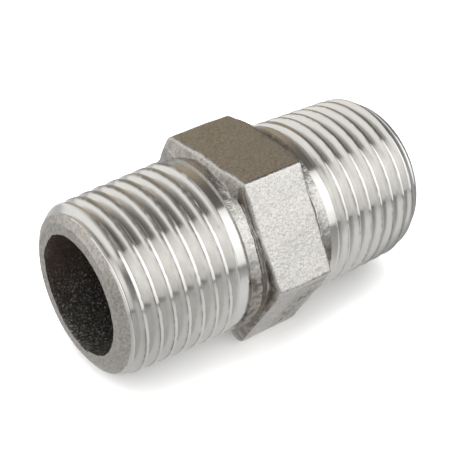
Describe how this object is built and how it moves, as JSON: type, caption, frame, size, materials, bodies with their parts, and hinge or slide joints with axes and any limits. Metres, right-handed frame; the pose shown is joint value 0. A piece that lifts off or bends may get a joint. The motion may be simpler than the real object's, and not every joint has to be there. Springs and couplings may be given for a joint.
{
  "type": "hex nipple",
  "caption": "Stainless pipe nipple with a hexagonal spanner collar in the middle, an external taper thread on each end and a straight through-bore.",
  "frame": {"origin": "on the bore's axis, at the middle of the hexagon", "axes": "+X along the bore towards the rear end, +Z square to a pair of hexagon flats, +Y towards a pair of hexagon corners"},
  "size_m": [0.0438, 0.026, 0.023],
  "materials": {
    "cast_steel": "as-cast stainless, fine grained and matt",
    "machined_steel": "turned stainless, bright with fine tool lines"
  },
  "bodies": {
    "root": {"hex_collar": "cast_steel", "front_cast_neck": "cast_steel", "rear_cast_neck": "cast_steel", "front_relief_band": "machined_steel", "rear_relief_band": "machined_steel", "front_thread": "machined_steel", "rear_thread": "machined_steel"}
  },
  "joints": []
}
